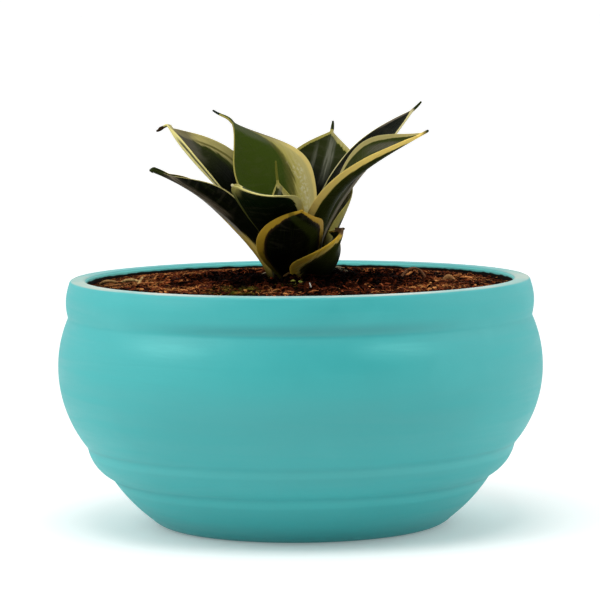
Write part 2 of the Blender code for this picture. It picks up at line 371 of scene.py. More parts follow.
def outerWall():
    rounding, soft, step = pot["rounding"], pot["softening"], pot["stepDepth"]
    lipTop = (pot["lipOuter"] - rounding, pot["height"])
    bandTop = (pot["lipOuter"] + soft, pot["height"] - rounding)
    lip = arc(lipTop, (pot["lipOuter"], pot["height"] - soft), bandTop, 6)
    groove = pot["groove"]
    band = arc(bandTop, pot["band"], (groove[0] + pot["grooveDepth"], groove[1] + step), 12)
    belly = arc(groove, pot["belly"], pot["upperStep"], 50)
    beadTop = tuple(v - step for v in pot["upperStep"])
    bead = arc(beadTop, pot["upperBulge"], pot["lowerStep"], 14)
    bulgeTop = tuple(v - step for v in pot["lowerStep"])
    bulge = arc(bulgeTop, pot["lowerBulge"], pot["heel"], 20)
    foot = arc(pot["heel"], pot["footRound"], (pot["footRadius"], 0), 8)[1:]
    return lip + band[1:] + belly + bead + bulge + foot


def evenPoints(points, step):
    # The same line with points at an even spacing.
    points = np.array(points)
    run = np.concatenate([[0], np.cumsum(np.linalg.norm(np.diff(points, axis=0), axis=1))])
    places = np.linspace(0, run[-1], int(run[-1] / step) + 1)
    return np.stack([np.interp(places, run, points[:, i]) for i in (0, 1)], 1)


def softened(points, reach, step):
    # Rounds the corners of an evenly spaced line, and leaves its two ends alone.
    count = max(1, round(reach / step))
    weights = np.hanning(2 * count + 3)[1:-1]
    weights /= weights.sum()
    padded = np.pad(points, ((count, count), (0, 0)), mode="edge")
    soft = np.stack([np.convolve(padded[:, i], weights, "valid") for i in (0, 1)], 1)
    soft[:count + 1] = points[:count + 1]
    soft[-count - 1:] = points[-count - 1:]
    return soft


def turnedMesh(name, profile, segments):
    # A closed turned solid. The profile runs from one point near the axis to another, outer side last.
    rings = len(profile)
    angles = np.arange(segments) * 2 * math.pi / segments
    points = np.zeros((rings, segments, 3))
    points[..., :2] = profile[:, None, None, 0] * np.stack([np.cos(angles), np.sin(angles)], 1)
    points[..., 2] = profile[:, None, 1]
    verts = np.concatenate([points.reshape(-1, 3), [(0, 0, profile[0, 1]), (0, 0, profile[-1, 1])]])
    near = np.arange(segments)
    far = (near + 1) % segments
    faces = []
    for low in range(0, (rings - 1) * segments, segments):
        high = low + segments
        faces += np.stack([low + near, high + near, high + far, low + far], 1).tolist()
    top, first = (rings - 1) * segments, rings * segments
    faces += np.stack([near, far, 0 * near + first], 1).tolist()
    faces += np.stack([top + far, top + near, 0 * near + first + 1], 1).tolist()
    mesh = newMesh(name, (verts * mm).tolist(), faces)
    mesh.shade_smooth()
    return mesh


def paintMaterial():
    material, shader = newMaterial("turquoisePaint", 0.55, pot["gloss"])
    place = objectCoords(material)
    x, y, z = split(place)
    sideways = abs(x)
    brushed = combine(*(axis * scale for axis, scale in zip((x, y, z), pot["strokes"])))
    strokes = grain(brushed, *pot["strokeGrain"])
    colour = blend(ramp(strokes, *pot["strokeLight"]), pot["paint"], pot["light"])
    for scale, detail, mask, key in pot["clouds"]:
        colour = blend(ramp(grain(place, scale, detail), *mask), colour, pot[key])
    # Painted shade in the groove under the band, in front.
    grooveShadeMask = rampMm(abs(z - pot["grooveShade"] * mm), *pot["grooveReach"])
    colour = blend(grooveShadeMask * rampMm(sideways, *pot["grooveFront"]), colour, pot["deep"])
    # Painted shade in front under the belly, and round the foot.
    shade = rampMm(z, *pot["bellyShade"]) * rampMm(sideways, *pot["bellySides"])
    shade = calc("MAXIMUM", shade * rampMm(y, *pot["bellyFront"]), rampMm(z, *pot["footShade"]))
    colour = blend(shade, colour, pot["deep"])
    # The two steps have painted shade in their crease, with a painted highlight under it.
    level = x * (-pot["stepTilt"] / pot["belly"][0]) + z
    for height in pot["creases"]:
        colour = blend(rampMm(abs(level - height * mm), *pot["crease"]), colour, pot["deep"])
        below = abs(level - (height - pot["highlightBelow"]) * mm)
        colour = blend(rampMm(below, *pot["pale"]), colour, pot["light"])
    # Painted highlights on the shoulder in two places, in front.
    wide, high = pot["shineSize"]
    for px, pz in pot["shine"]:
        away = calc("LENGTH", combine((x - px * mm) / (wide * mm), (z - pz * mm) / (high * mm), 0.0))
        near = ramp(away, *pot["shineAmount"]) * ramp(strokes, *pot["shineStrokes"])
        colour = blend(near * rampMm(y, *pot["shineFront"]), colour, pot["shoulderHighlight"])
    # Dust lies on the top of the lip, but for its far side, and is sandier to the left and the right.
    upward = split(addNode(place, "ShaderNodeNewGeometry").named("Normal"))[2]
    onLip = ramp(upward, *pot["dustSlope"]) * rampMm(z, *pot["dustFrom"]) * rampMm(y, *pot["dustFar"])
    atEnds = rampMm(sideways, *pot["sandEnds"])
    cover = ramp(grain(place, *pot["dustGrain"]), *pot["dustCover"]) + atEnds * pot["moreAtEnds"]
    colour = blend(onLip * cover, colour, blend(atEnds, pot["dust"], pot["sand"]))
    # The inner wall is painted lighter, as painted light, and just over the soil a painted shadow darkens it.
    lipFoot = (pot["height"] - pot["lipDepth"]) * mm
    inside = (fromAxis(place) < (pot["lipInner"] + pot["wallReach"]) * mm) * (z > lipFoot)
    wobble = (grain(place, pot["wallShadowGrain"], 3) - 0.5) * (pot["wallShadowWobble"] * mm)
    shadowed = inside * rampMm(z + wobble, *pot["wallShadowEdge"])
    colour = blend(inside * pot["wallAmount"], colour, pot["wallLight"])
    colour = blend(shadowed, colour, pot["wallShadow"])
    plugIn(ramp(shadowed, 0, 1, pot["gloss"], pot["shadowGloss"]), shader["Specular IOR Level"])
    # A few dark specks and pinholes
    cells = addNode(place, "ShaderNodeTexVoronoi", {"Vector": place, "Scale": pot["speckScale"]})
    specks = ramp(cells, *pot["speckSize"]) * (split(cells.named("Color"))[0] > pot["speckRare"])
    colour = blend(specks * pot["speckAmount"], colour, pot["speck"])
    plugIn(colour, shader["Base Color"])
    plugIn(ramp(strokes, *pot["roughness"]), shader["Roughness"])
    height = strokes * 0.7 + grain(place, *pot["fineGrain"]) * 0.25 - specks * 0.8
    addBump(shader, height, pot["bump"] * mm)
    return material


def buildPot():
    inner, top, rounding, soft = pot["lipInner"], pot["height"], pot["rounding"], pot["softening"]
    lip = arc((inner, top - rounding), (inner + soft, top - soft), (inner + rounding, top), 6)
    step = pot["profileStep"]
    outside = softened(evenPoints(lip + outerWall(), step), pot["smoothing"], step)
    profile = np.concatenate([evenPoints(innerWall()[::-1], pot["innerStep"]), outside])
    mesh = turnedMesh("potBody", profile, pot["segments"])
    # The pot is shaped by hand: its steps lean a little and its wall wavers, but not at its foot and its lip.
    calmLow, calmHigh = pot["calm"]
    for vertex in mesh.vertices:
        x, y, z = vertex.co / mm
        free = min(1, z / calmLow) * min(1, max(0, (top - z) / calmHigh))
        swell = noise.noise(vertex.co / (pot["waverSize"] * mm)) * pot["waver"] * free
        wider = 1 + swell / max(1, math.hypot(x, y))
        lean = pot["stepTilt"] * math.exp(-((z - pot["tiltMiddle"]) / pot["tiltReach"]) ** 2)
        vertex.co = Vector((x * wider, y * wider, z + lean * x / pot["belly"][0])) * mm
    mesh.materials.append(paintMaterial())
    finishPiece(newObject("potBody", mesh), "painted_clay", "pot")


buildPot()
print("pot done")


# The leaves. Each entry is one leaf: its shape as it grows from the crown, then its colours.
# az is the direction it grows in, rise the slope of its midrib, turn and roll its swing and twist, and
# cup half the angle that the blade is bent through. left and right are the widths of the pale margins,
# from foot to tip, seen along the leaf from the crown, on both faces or, where outerLeft and outerRight
# are given, on the inner face. A tip is the length of the thin point, then its rise and its turn.
# Spans, and where the painted shade on the faces and on the margins starts and ends, are shares of the
# length.

blade = {
    "footHeight": 112, "thickest": 2.1, "footThickness": 1.3, "edge": 0.7, "awlThickness": 0.95,
    "thinning": 0.7, "swell": 1.3, "tightestBend": 1.2, "leastBend": 2, "mostBend": 120,
    "awlEnd": 0.4, "awlTaper": 1.7, "knobPlace": 0.72, "knobReach": 0.2,
    "rows": 200, "around": 44, "ripple": 0.35, "rippleSize": 16, "edgeward": 2.5, "seedStep": 7.3,
    "shreds": 3.5, "shredLevel": 0.6, "tornFrom": 0.8,
}

# How the skin of every leaf is made up
skin = {
    # noises over the blade: scale across, scale along, shift of the seed, detail, warp
    "grains": {
        "streaks": (1.3, 0.07, 0.0, 4.0, 0.0), "wander": (0.25, 0.08, 3.0, 3.0, 0.0),
        "bands": (0.10, 0.34, 6.0, 4.0, 0.8), "fine": (3.0, 1.1, 9.0, 2.0, 0.0),
        "streaky": (0.9, 0.06, 12.0, 4.0, 0.0), "speckled": (0.75, 0.5, 15.0, 5.0, 0.0),
    },
    "seedStep": 11.0, "leastMargin": 0.05, "haloReach": (0.95, 1.4, 0.8, 0), "marginEdge": (0.82, 1.02, 1, 0),
    "stripeWander": 0.6, "stripeCore": 0.35, "stripeEnds": (0.07, 0.05),  # how far its ends fade, out and in
    # the colours of the painted sheen and glints, which also raise the gloss, and by how much
    "waxy": ("grey", "wax", "mauve", "dusk"), "gloss": 0.03, "waxyGloss": 0.22,
    "footDark": (0.06, 0.2, 0.9, 0), "dryWander": 0.06, "dryReach": 0.03, "bump": 0.4,
    "facing": (-0.25, 0.25), "tinge": (0.45, 0.75, 0, 0.25), "band": (0.5, 0.62, 0),
    "marginTone": (0.4, 0.85), "roughness": (0.3, 0.75, 0.40, 0.56),
    "looks": {"streaky": (0.4, 0.62, 0.3, 1.0), "speckled": (0.45, 0.66, 0.0, 1.0)},
}

greens = {
    "fresh": (0.030, 0.050, 0.0018), "deep": (0.018, 0.024, 0.003), "night": (0.0022, 0.003, 0.001),
    "forest": (0.0012, 0.010, 0.0015), "moss": (0.030, 0.040, 0.004), "olive": (0.10, 0.09, 0.018),
    "grey": (0.085, 0.088, 0.050), "dusk": (0.080, 0.070, 0.045), "mauve": (0.16, 0.13, 0.085),
    "gold": (0.84, 0.62, 0.16), "honey": (0.72, 0.45, 0.045), "amber": (0.42, 0.255, 0.022),
    "butter": (0.56, 0.48, 0.17), "lemon": (0.65, 0.58, 0.21), "cream": (0.50, 0.45, 0.24),
    "pale": (0.40, 0.345, 0.13), "wax": (0.50, 0.47, 0.30), "silver": (0.32, 0.30, 0.25),
    "straw": (0.32, 0.28, 0.065), "lime": (0.14, 0.14, 0.02), "rust": (0.19, 0.115, 0.055),
    "dry": (0.040, 0.022, 0.010),
}

# What holds for a leaf unless its own entry says otherwise
usualLeaf = dict(
    taper=1, end=0.9, knob=0, torn=0.0, tip=(0.3, (), ()), hold=0.25, under=(0.35, 0.95), shade=(0.35, 0.65),
    banding=0.15, ragged=0.7, margin2="butter", marginShade=(0.15, 0.5, 0.7), dryFrom=9.0, awl="dry", stripes=())

# A stripe is its edge, gap and half width, where it starts and ends, its face, colour and amount, and its
# look where that isn't plain.
# Stripes in grey, silver, mauve and dusk are painted sheen, and the speckled whitish stripe is painted
# glints.
leaves = {
    "leaf_young_spear": dict(
        az=132, foot=1.2, length=57, width=16, hold=0.3, widest=0.66, end=0.6,
        rise=(90, 75, 55, 75), turn=(-2, -11), roll=(-15, -41), cup=(50, 37), tip=(10, (88,), (-10,)),
        left=(0.6, 0.6, 0.9, 0.8), right=(0.6, 1.2, 4.2, 2.8), inner="deep", outer="deep",
        margin="straw", margin2="pale", halo="moss", dryFrom=1.03, awl="lime",
        stripes=[("left", 4, 1.6, 0.5, 0.95, "inner", "grey", 0.7)]),
    "leaf_tall_back": dict(
        az=122, foot=3.2, length=98, width=44, widest=0.56, taper=1.08, end=1.3,
        rise=(90, 59, 48, 46), turn=(1, 33), roll=(-44, -10), cup=(26, 11), tip=(11.5, (4, 22, 34), (20, 40)),
        left=(1, 1, 1.3, 0.4), right=(6, 16, 26, -2, 0.6), inner="fresh", outer="deep", shade=(0.1, 0.35),
        margin="pale", margin2="straw", leftMargin="straw", halo="olive", ragged=0.35, marginShade=(0.0, 0.3, 0.3),
        banding=0.08, dryFrom=1.6, awl="forest",
        stripes=[("right", 0.8, 1.8, 0.25, 0.75, "inner", "gold", 0.35),
                 ("right", 7.0, 3.6, 0.36, 0.62, "inner", "wax", 0.7, "speckled"),
                 ("right", 2, 6, 0.80, 0.98, "inner", "grey", 0.35),
                 ("right", 0, 1.2, 0.84, 1.1, "inner", "dusk", 0.8),
                 ("right", 0.3, 0.8, 1.05, 1.6, "inner", "butter", 0.8)]),
    "leaf_front_left": dict(
        az=245.5, foot=6.1, length=90, width=32, widest=0.75, taper=1.8,
        rise=(90, 43, 23, 14.5), turn=(16, -25), roll=(52, -37), cup=(15, 6),
        left=(1, 3, 5.6, 0.6), right=(0.2, 0.2, 0.2, 2.5, 4.5), inner="fresh", outer="forest",
        margin="straw", margin2="lemon", leftMargin="lemon", halo="forest", ragged=0.6,
        marginShade=(0.74, 0.90, 0.9), marginShadeSide="right", dryFrom=0.985, awl="cream",
        stripes=[("right", 0, 8, 0.78, 1.1, "outer", "straw", 0.7)]),
    "leaf_right_back": dict(
        az=35, foot=5.8, length=113, width=22, widest=0.64,
        rise=(90, 58, 37, 34), turn=(-11, 3), roll=(16, 11), cup=(22, 21), tip=(6, (38,), (10,)),
        left=(0.9, 1.2, 0.3, 0.5), right=(0.6, 0.6, 1.2, 1.2), inner="night", outer="night",
        margin="cream", halo="deep", marginShade=(0.3, 0.65, 0.7), banding=0.05, dryFrom=0.98, awl="deep",
        stripes=[("middle", 0, 9, 0.0, 0.5, "inner", "deep", 0.9),
                 ("middle", 0, 9, 0.45, 0.6, "inner", "dusk", 0.45),
                 ("left", 0.9, 1.1, 0.86, 0.95, "inner", "mauve", 0.7),
                 ("right", 0, 3, 0.05, 0.6, "outer", "dusk", 1.0),
                 ("right", 0, 3, 0.05, 0.6, "inner", "dusk", 1.0)]),
    "leaf_left_back": dict(
        az=155, foot=8.8, length=119.5, width=32, widest=0.58, taper=1.26, end=1.3, knob=1.0,
        rise=(90, 33, 37, 21), turn=(-8, -48), roll=(-35, 8), cup=(100, 110), tip=(8, (-70, -10), (45, 25)),
        left=(0.8, 0.7, 0.7, 0.6), right=(2, 7, 9, 1.5), outerLeft=(6, 15, 9, 0.6), outerRight=(1, 3, 3, 1),
        inner="deep", outer="night", shade=(0.55, 0.8), margin="butter", margin2="pale", leftMargin="lemon",
        halo="moss", ragged=0.4, marginShade=(0.42, 0.85, 0.85), marginShadeSide="right", dryFrom=1.42,
        stripes=[("right", 3.9, 0.8, 0.45, 0.8, "inner", "olive", 0.85),
                 ("left", 1.7, 1.1, 0.3, 0.8, "outer", "deep", 0.9),
                 ("left", 8, 10, 0.70, 0.99, "inner", "dusk", 0.75)]),
    "leaf_right_long": dict(
        az=306, foot=7.9, length=121, width=33, widest=0.57, taper=1.35,
        rise=(90, 53, 16, 25), turn=(12, 16), roll=(47, 33), cup=(79, 78),
        left=(1, 0.6, 5.4, 0.3), right=(2.5, 4.9, 4.8, 1.4), outerLeft=(0, 0, 0, 0.4),
        inner="moss", outer="deep", under=(0.0, 0.3), margin="gold", margin2="gold", leftMargin="pale",
        halo="moss", ragged=0.3, marginShade=(0.0, 0.1, 0.0), dryFrom=0.972, awl="deep",
        stripes=[("left", 1.5, 4.6, 0.1, 0.9, "outer", "silver", 0.75, "streaky"),
                 ("left", 6, 3, 0.68, 0.84, "inner", "dusk", 0.6)]),
    "leaf_back": dict(
        az=70, foot=8.1, length=88, width=38, widest=0.72, taper=1.1,
        rise=(90, 55, 55, 56), turn=(-6, 1), roll=(-19, 28), cup=(37, 18), tip=(5, (85,), (0,)),
        left=(0.3, 0.3, 1.9, 2.2), right=(1, 1.2, 5.6, 3.2), inner="deep", outer="night", shade=(0.6, 0.9),
        margin="pale", margin2="straw", leftMargin="straw", halo="moss", dryFrom=1.05, awl="deep",
        stripes=[("middle", 6, 1.5, 0.6, 0.88, "inner", "grey", 0.7, "streaky"),
                 ("middle", -1.5, 3.2, 0.68, 0.95, "inner", "grey", 1.0, "streaky")]),
    "leaf_left_low": dict(
        az=188.5, foot=13.4, length=87.8, width=27, widest=0.6, taper=1.57, end=2.3,
        rise=(90, 35, 41, 21), turn=(3, -16), roll=(60, -25), cup=(52, 110), tip=(2, (0,), (0,)),
        left=(0.2, 1.3, 0.4, 0), right=(1, 1, 0.3, 0), outerRight=(8, 15, 21, -6, 0.2),
        inner="deep", outer="night", margin="amber", margin2="gold", leftMargin="pale", halo="night",
        ragged=0.3, marginShade=(0.05, 0.3, 0.9), dryFrom=0.93, awl="deep",
        stripes=[("middle", 1.3, 4.2, 0.54, 0.92, "outer", "mauve", 1.0, "streaky"),
                 ("middle", -1.8, 2.6, 0.40, 0.95, "outer", "silver", 0.9),
                 ("left", 0, 1.2, 0.1, 0.42, "outer", "dusk", 0.9)]),
    "leaf_right_short": dict(
        az=30, foot=10.1, length=57, width=34, hold=0.46, widest=0.48, taper=1.08,
        rise=(90, 56, 60, 63), turn=(6, 18), roll=(-38, -4), cup=(52, 26),
        left=(1, 2, 2, 1), right=(3, 8, 8, 4), inner="deep", outer="night",
        margin="straw", margin2="straw", halo="moss", marginShade=(0.2, 0.5, 0.6),
        stripes=[("left", 7.5, 4, 0.3, 1.0, "outer", "straw", 0.9),
                 ("left", 7.5, 4, 0.3, 1.0, "inner", "straw", 0.9),
                 ("left", 7.9, 0.6, 0.3, 0.95, "inner", "moss", 0.7)]),
    "leaf_front_short": dict(
        az=266, foot=10.1, length=58, width=39, widest=0.6, taper=0.81,
        rise=(90, 5, 44, 61), turn=(-7, 36), roll=(50, -14), cup=(70, 45),
        left=(1.4, 6, 6.4, 1.8), right=(1, 4.4, 6.0, 1.8), inner="deep", outer="night",
        margin="amber", margin2="amber", halo="dry", ragged=0.5, marginShade=(0.2, 0.62, 0.9),
        stripes=[("left", 9.5, 4, 0.3, 0.97, "outer", "moss", 0.6)]),
    "leaf_front_torn": dict(
        az=305, foot=12.2, length=40, width=40, hold=0.4, widest=0.51, taper=0.74, end=4, torn=3.5,
        rise=(90, 14, 47, 85), turn=(0, 37), roll=(8, 48), cup=(47, 68),
        left=(1, 1.5, 1.5, 1), right=(4, 7.5, 6, 3), inner="deep", outer="moss", under=(0.25, 0.8),
        margin="honey", margin2="gold", halo="olive", marginShade=(0.0, 0.1, 0.0), dryFrom=0.93, awl="rust"),
}


def steer(values, share):
    # A Bezier curve over the share through the first and last value, led by those between.
    rows = [np.full_like(share, value) for value in values]
    while len(rows) > 1:
        rows = [a * (1 - share) + b * share for a, b in zip(rows[:-1], rows[1:])]
    return rows[0]


def halfWidths(leaf, share, beyond):
    widest = leaf["widest"]
    opening = np.sin(np.pi / 2 * np.clip(share / widest, 0, 1)) ** blade["swell"]
    closing = np.cos(np.pi / 2 * np.clip((share - widest) / (1 - widest), 0, 1)) ** leaf["taper"]
    outline = np.where(share < widest, leaf["hold"] + (1 - leaf["hold"]) * opening, closing)
    half = np.maximum(leaf["width"] / 2 * outline, leaf["end"])
    awl = leaf["end"] + (blade["awlEnd"] - leaf["end"]) * beyond ** blade["awlTaper"]
    # A shrivelled end is a little swollen.
    awl += leaf["knob"] * np.exp(-((beyond - blade["knobPlace"]) / blade["knobReach"]) ** 2)
    return np.where(beyond > 0, awl, half)


def leafSpine(name, leaf):
    # The midrib as a row of points that carry the frame, width, bend and margins of the blade.
    rows = blade["rows"]
    awlLength, awlRise, awlTurn = leaf["tip"]
    total = leaf["length"] + awlLength
    along = np.linspace(0, total, rows + 1)
    share = np.minimum(along / leaf["length"], 1)
    beyond = np.maximum(along - leaf["length"], 0) / awlLength

    def led(values, more):
        return steer(values, share) + steer((values[-1], *more), beyond) - values[-1]

    rise = np.radians(led(leaf["rise"], awlRise))
    heading = np.radians(leaf["az"] + led((0, 0, *leaf["turn"]), awlTurn))
    roll = np.radians(steer((0, *leaf["roll"]), share))[:, None]
    flat = np.cos(rise)
    forward = np.stack([flat * np.cos(heading), flat * np.sin(heading), np.sin(rise)], 1)
    place = np.zeros_like(forward)
    place[1:] = np.cumsum((forward[1:] + forward[:-1]) / 2 * total / rows, 0)
    start = math.radians(leaf["az"])
    place += [leaf["foot"] * math.cos(start), leaf["foot"] * math.sin(start), blade["footHeight"]]
    side = np.stack([-np.sin(heading), np.cos(heading), 0 * heading], 1)
    face = np.cross(forward, side)
    across = side * np.cos(roll) + face * np.sin(roll)
    out = face * np.cos(roll) - side * np.sin(roll)

    half = halfWidths(leaf, share, beyond)
    footBend = math.degrees(leaf["width"] / 2 * leaf["hold"] / leaf["foot"])
    cup = np.clip(steer((footBend, footBend, *leaf["cup"]), share), blade["leastBend"], blade["mostBend"])
    bend = np.minimum(np.radians(cup), half / blade["tightestBend"])
    thick = blade["footThickness"] + (blade["thickest"] - blade["footThickness"]) * np.sin(np.pi * share)
    thick = np.where(beyond > 0, blade["awlThickness"] + (half - blade["awlEnd"]) * 0.5, thick)
    left, right = leaf["left"], leaf["right"]
    margins = [steer(widths, share) for widths in (left, right)]
    outer = [steer(widths, share) for widths in (leaf.get("outerLeft", left), leaf.get("outerRight", right))]

    mesh = newMesh(name + "Spine", (place * mm).tolist())
    carriedAlong = {
        "across": across, "out": out, "forward": forward,
        "margins": np.stack([*margins, share + beyond], 1), "outerMargins": np.stack([*outer, along], 1),
        "section": np.stack([half * mm, bend, thick * mm], 1),
    }
    for label, values in carriedAlong.items():
        storeValues(mesh, label, values, "FLOAT_VECTOR", "vector")
    return mesh


def bladeTree():
    # A tube with a round section is laid along the spine and pressed into the section of the blade.
    reals = ("Edge Thickness", "Thinning", "Ripple", "Ripple Size", "Torn Depth", "Seed")
    tree, given = newTree("leafBlade", reals, ("Rows", "Points Around"))
    tube = addNode(tree, "GeometryNodeMeshCylinder", {
        "Vertices": given["Points Around"], "Side Segments": given["Rows"], "Radius": 1.0, "Depth": 1.0})
    position = addNode(tree, "GeometryNodeInputPosition")
    u, side, height = split(position)
    row = calc("ROUND", (height + 0.5) * given["Rows"])

    def onSpine(value):
        inputs = {"Geometry": given["Geometry"], "Value": value, "Index": row}
        return addNode(tree, "GeometryNodeSampleIndex", inputs, data_type="FLOAT_VECTOR", domain="POINT")

    place = onSpine(position)
    across, out, forward = (onSpine(readAttribute(tree, name)) for name in ("across", "out", "forward"))
    half, bend, thick = split(onSpine(readAttribute(tree, "section")))
    innerLeft, innerRight, share = split(onSpine(readAttribute(tree, "margins")))
    outerLeft, outerRight, along = split(onSpine(readAttribute(tree, "outerMargins")))

    angle, radius = bend * u, half / bend
    sine, cosine = calc("SINE", angle), calc("COSINE", angle)
    middle = place + across * (radius * sine) + out * (radius * (1.0 - cosine))
    normal = out * cosine - across * sine

    # Half the thickness here, rounded at the two edges
    full = calc("MAXIMUM", 1.0 - u * u, 0.0) ** given["Thinning"]
    wall = (thick - given["Edge Thickness"]) * full + given["Edge Thickness"]
    offset = wall * 0.5 * (calc("SIGN", side) * calc("SQRT", abs(side)))

    # The margins ripple a little, more towards the edge.
    size, seed = given["Ripple Size"], given["Seed"]
    wave = grain(middle / combine(size, size, size) + combine(seed, seed, 0.0), 1.0, 1.0) - 0.5
    offset = offset + wave * abs(u) ** blade["edgeward"] * given["Ripple"] * 2.0

    # A torn end is ragged along the leaf.
    shred = grain(combine(u * blade["shreds"], seed, 0.0), 1.0, 3.0) - blade["shredLevel"]
    tear = shred * ramp(share, blade["tornFrom"], 1.0) * given["Torn Depth"]

    # What the leaf's material reads: the place across and along and the face, the gaps to the two edges,
    # and the widths of the margins, all in millimetres
    acrossMm, halfMm = u * half / mm, half / mm
    onInner = side > 0.0
    widths = [ramp(onInner, 0.0, 1.0, *pair) for pair in ((outerLeft, innerLeft), (outerRight, innerRight))]
    shape = keepAttribute(tube, "leafFlat", combine(acrossMm, along, side))
    shape = keepAttribute(shape, "leafEdges", combine(halfMm - acrossMm, halfMm + acrossMm, share))
    shape = keepAttribute(shape, "leafMargins", combine(*widths, 0.0))
    shape = keepAttribute(shape, "point", middle + normal * offset + forward * tear)
    moved = {"Geometry": shape, "Position": readAttribute(tree, "point")}
    shape = addNode(tree, "GeometryNodeSetPosition", moved)
    shape = addNode(tree, "GeometryNodeRemoveAttribute", {"Geometry": shape, "Name": "point"})
    endTree(tree, shape, given["Material"])
    return tree


def leafMaterial(name, leaf, seed):
    material, shader = newMaterial(name, 0.45, skin["gloss"])
    across, along, face = split(carried(material, "leafFlat", "Vector"))
    left, right, share = split(carried(material, "leafEdges", "Vector"))
    leftWidth, rightWidth, _ = split(carried(material, "leafMargins", "Vector"))
    inner = ramp(face, *skin["facing"])
    faces = {"inner": inner, "outer": 1.0 - inner}

    def overBlade(key):
        acrossScale, alongScale, shift, detail, warp = skin["grains"][key]
        spot = combine(across * acrossScale, along * alongScale, seed + shift)
        return grain(spot, 1.0, detail, warp=warp)

    streaks, bands, fine = overBlade("streaks"), overBlade("bands"), overBlade("fine")
    wander = overBlade("wander") - 0.5

    # The green of the two faces, with painted shade low down and on the outer face
    underside = blend(ramp(share, *leaf["under"]), greens["night"], greens[leaf["outer"]])
    outOfShade = ramp(share, *leaf["shade"])
    colour = blend(inner, underside, blend(outOfShade, greens["night"], greens[leaf["inner"]]))
    colour = blend(ramp(streaks, *skin["tinge"]) * outOfShade, colour, greens["moss"])
    colour = blend(ramp(bands, *skin["band"], leaf["banding"]) * outOfShade, colour, greens["dusk"])

    # The pale margins, with a ragged inner side and a halo, darkened towards the foot by painted shade
    fromLeft = left / calc("MAXIMUM", leftWidth, skin["leastMargin"])
    fromRight = right / calc("MAXIMUM", rightWidth, skin["leastMargin"])
    nearest = calc("MINIMUM", fromLeft, fromRight) + (wander + (streaks - 0.5)) * leaf["ragged"]
    colour = blend(ramp(nearest, *skin["haloReach"]), colour, greens[leaf["halo"]])
    tone = ramp(streaks * 0.5 + nearest * 0.6, *skin["marginTone"])
    pale = blend(tone, greens[leaf["margin"]], greens[leaf["margin2"]])
    if "leftMargin" in leaf:
        pale = blend(fromLeft < fromRight, pale, greens[leaf["leftMargin"]])
    low, high, amount = leaf["marginShade"]
    shadedMargin = ramp(share, low, high, amount, 0.0)
    if leaf.get("marginShadeSide") == "right":
        shadedMargin = shadedMargin * (fromRight < fromLeft)
    pale = blend(shadedMargin, pale, greens["moss"])
    colour = blend(ramp(nearest, *skin["marginEdge"]), colour, pale)

    # The stripes; those in the painted sheen colours also make the leaf glossier there
    waxy = 0.0
    faded, full = skin["stripeEnds"]
    for edge, gap, half, low, high, side, key, amount, *look in leaf["stripes"]:
        line = {"left": left, "right": right, "middle": across}[edge] - gap
        aside = abs(wander * (skin["stripeWander"] * half) + line)
        ends = ramp(share, low - faded, low + full) * ramp(share, high - full, high + faded, 1, 0)
        stripe = ramp(aside, skin["stripeCore"] * half, half, 1, 0) * ends
        stripe = stripe * faces[side] * amount
        for texture in look:
            stripe = stripe * ramp(overBlade(texture), *skin["looks"][texture])
        colour = blend(stripe, colour, greens[key])
        if key in skin["waxy"]:
            waxy = calc("MAXIMUM", stripe, waxy)

    # Painted shade at the foot of every leaf
    colour = blend(ramp(share, *skin["footDark"]), colour, greens["night"])
    dried = ramp(wander * skin["dryWander"] + share, leaf["dryFrom"], leaf["dryFrom"] + skin["dryReach"])
    colour = blend(dried, colour, greens[leaf["awl"]])
    plugIn(colour, shader["Base Color"])
    plugIn(ramp(fine, *skin["roughness"]), shader["Roughness"])
    plugIn(waxy * skin["waxyGloss"] + skin["gloss"], shader["Specular IOR Level"])
    addBump(shader, streaks * 0.7 + bands * 0.5 + fine * 0.25, skin["bump"] * mm)
    return material


def buildLeaves():
    tree = bladeTree()
    for index, (name, own) in enumerate(leaves.items()):
        leaf = usualLeaf | own
        settings = {
            "Rows": blade["rows"], "Points Around": blade["around"], "Edge Thickness": blade["edge"] * mm,
            "Thinning": blade["thinning"], "Ripple": blade["ripple"] * mm,
            "Ripple Size": blade["rippleSize"] * mm, "Torn Depth": leaf["torn"] * mm,
            "Seed": blade["seedStep"] * index,
            "Material": leafMaterial(name + "_skin", leaf, skin["seedStep"] * index),
        }
        piece = growMesh(leafSpine(name, leaf), tree, settings, name + "_blade")
        finishPiece(piece, "leaf", name)


buildLeaves()
print("leaves done")


# Soil: a body that fills the pot, the coir that covers it, and the litter that lies on it

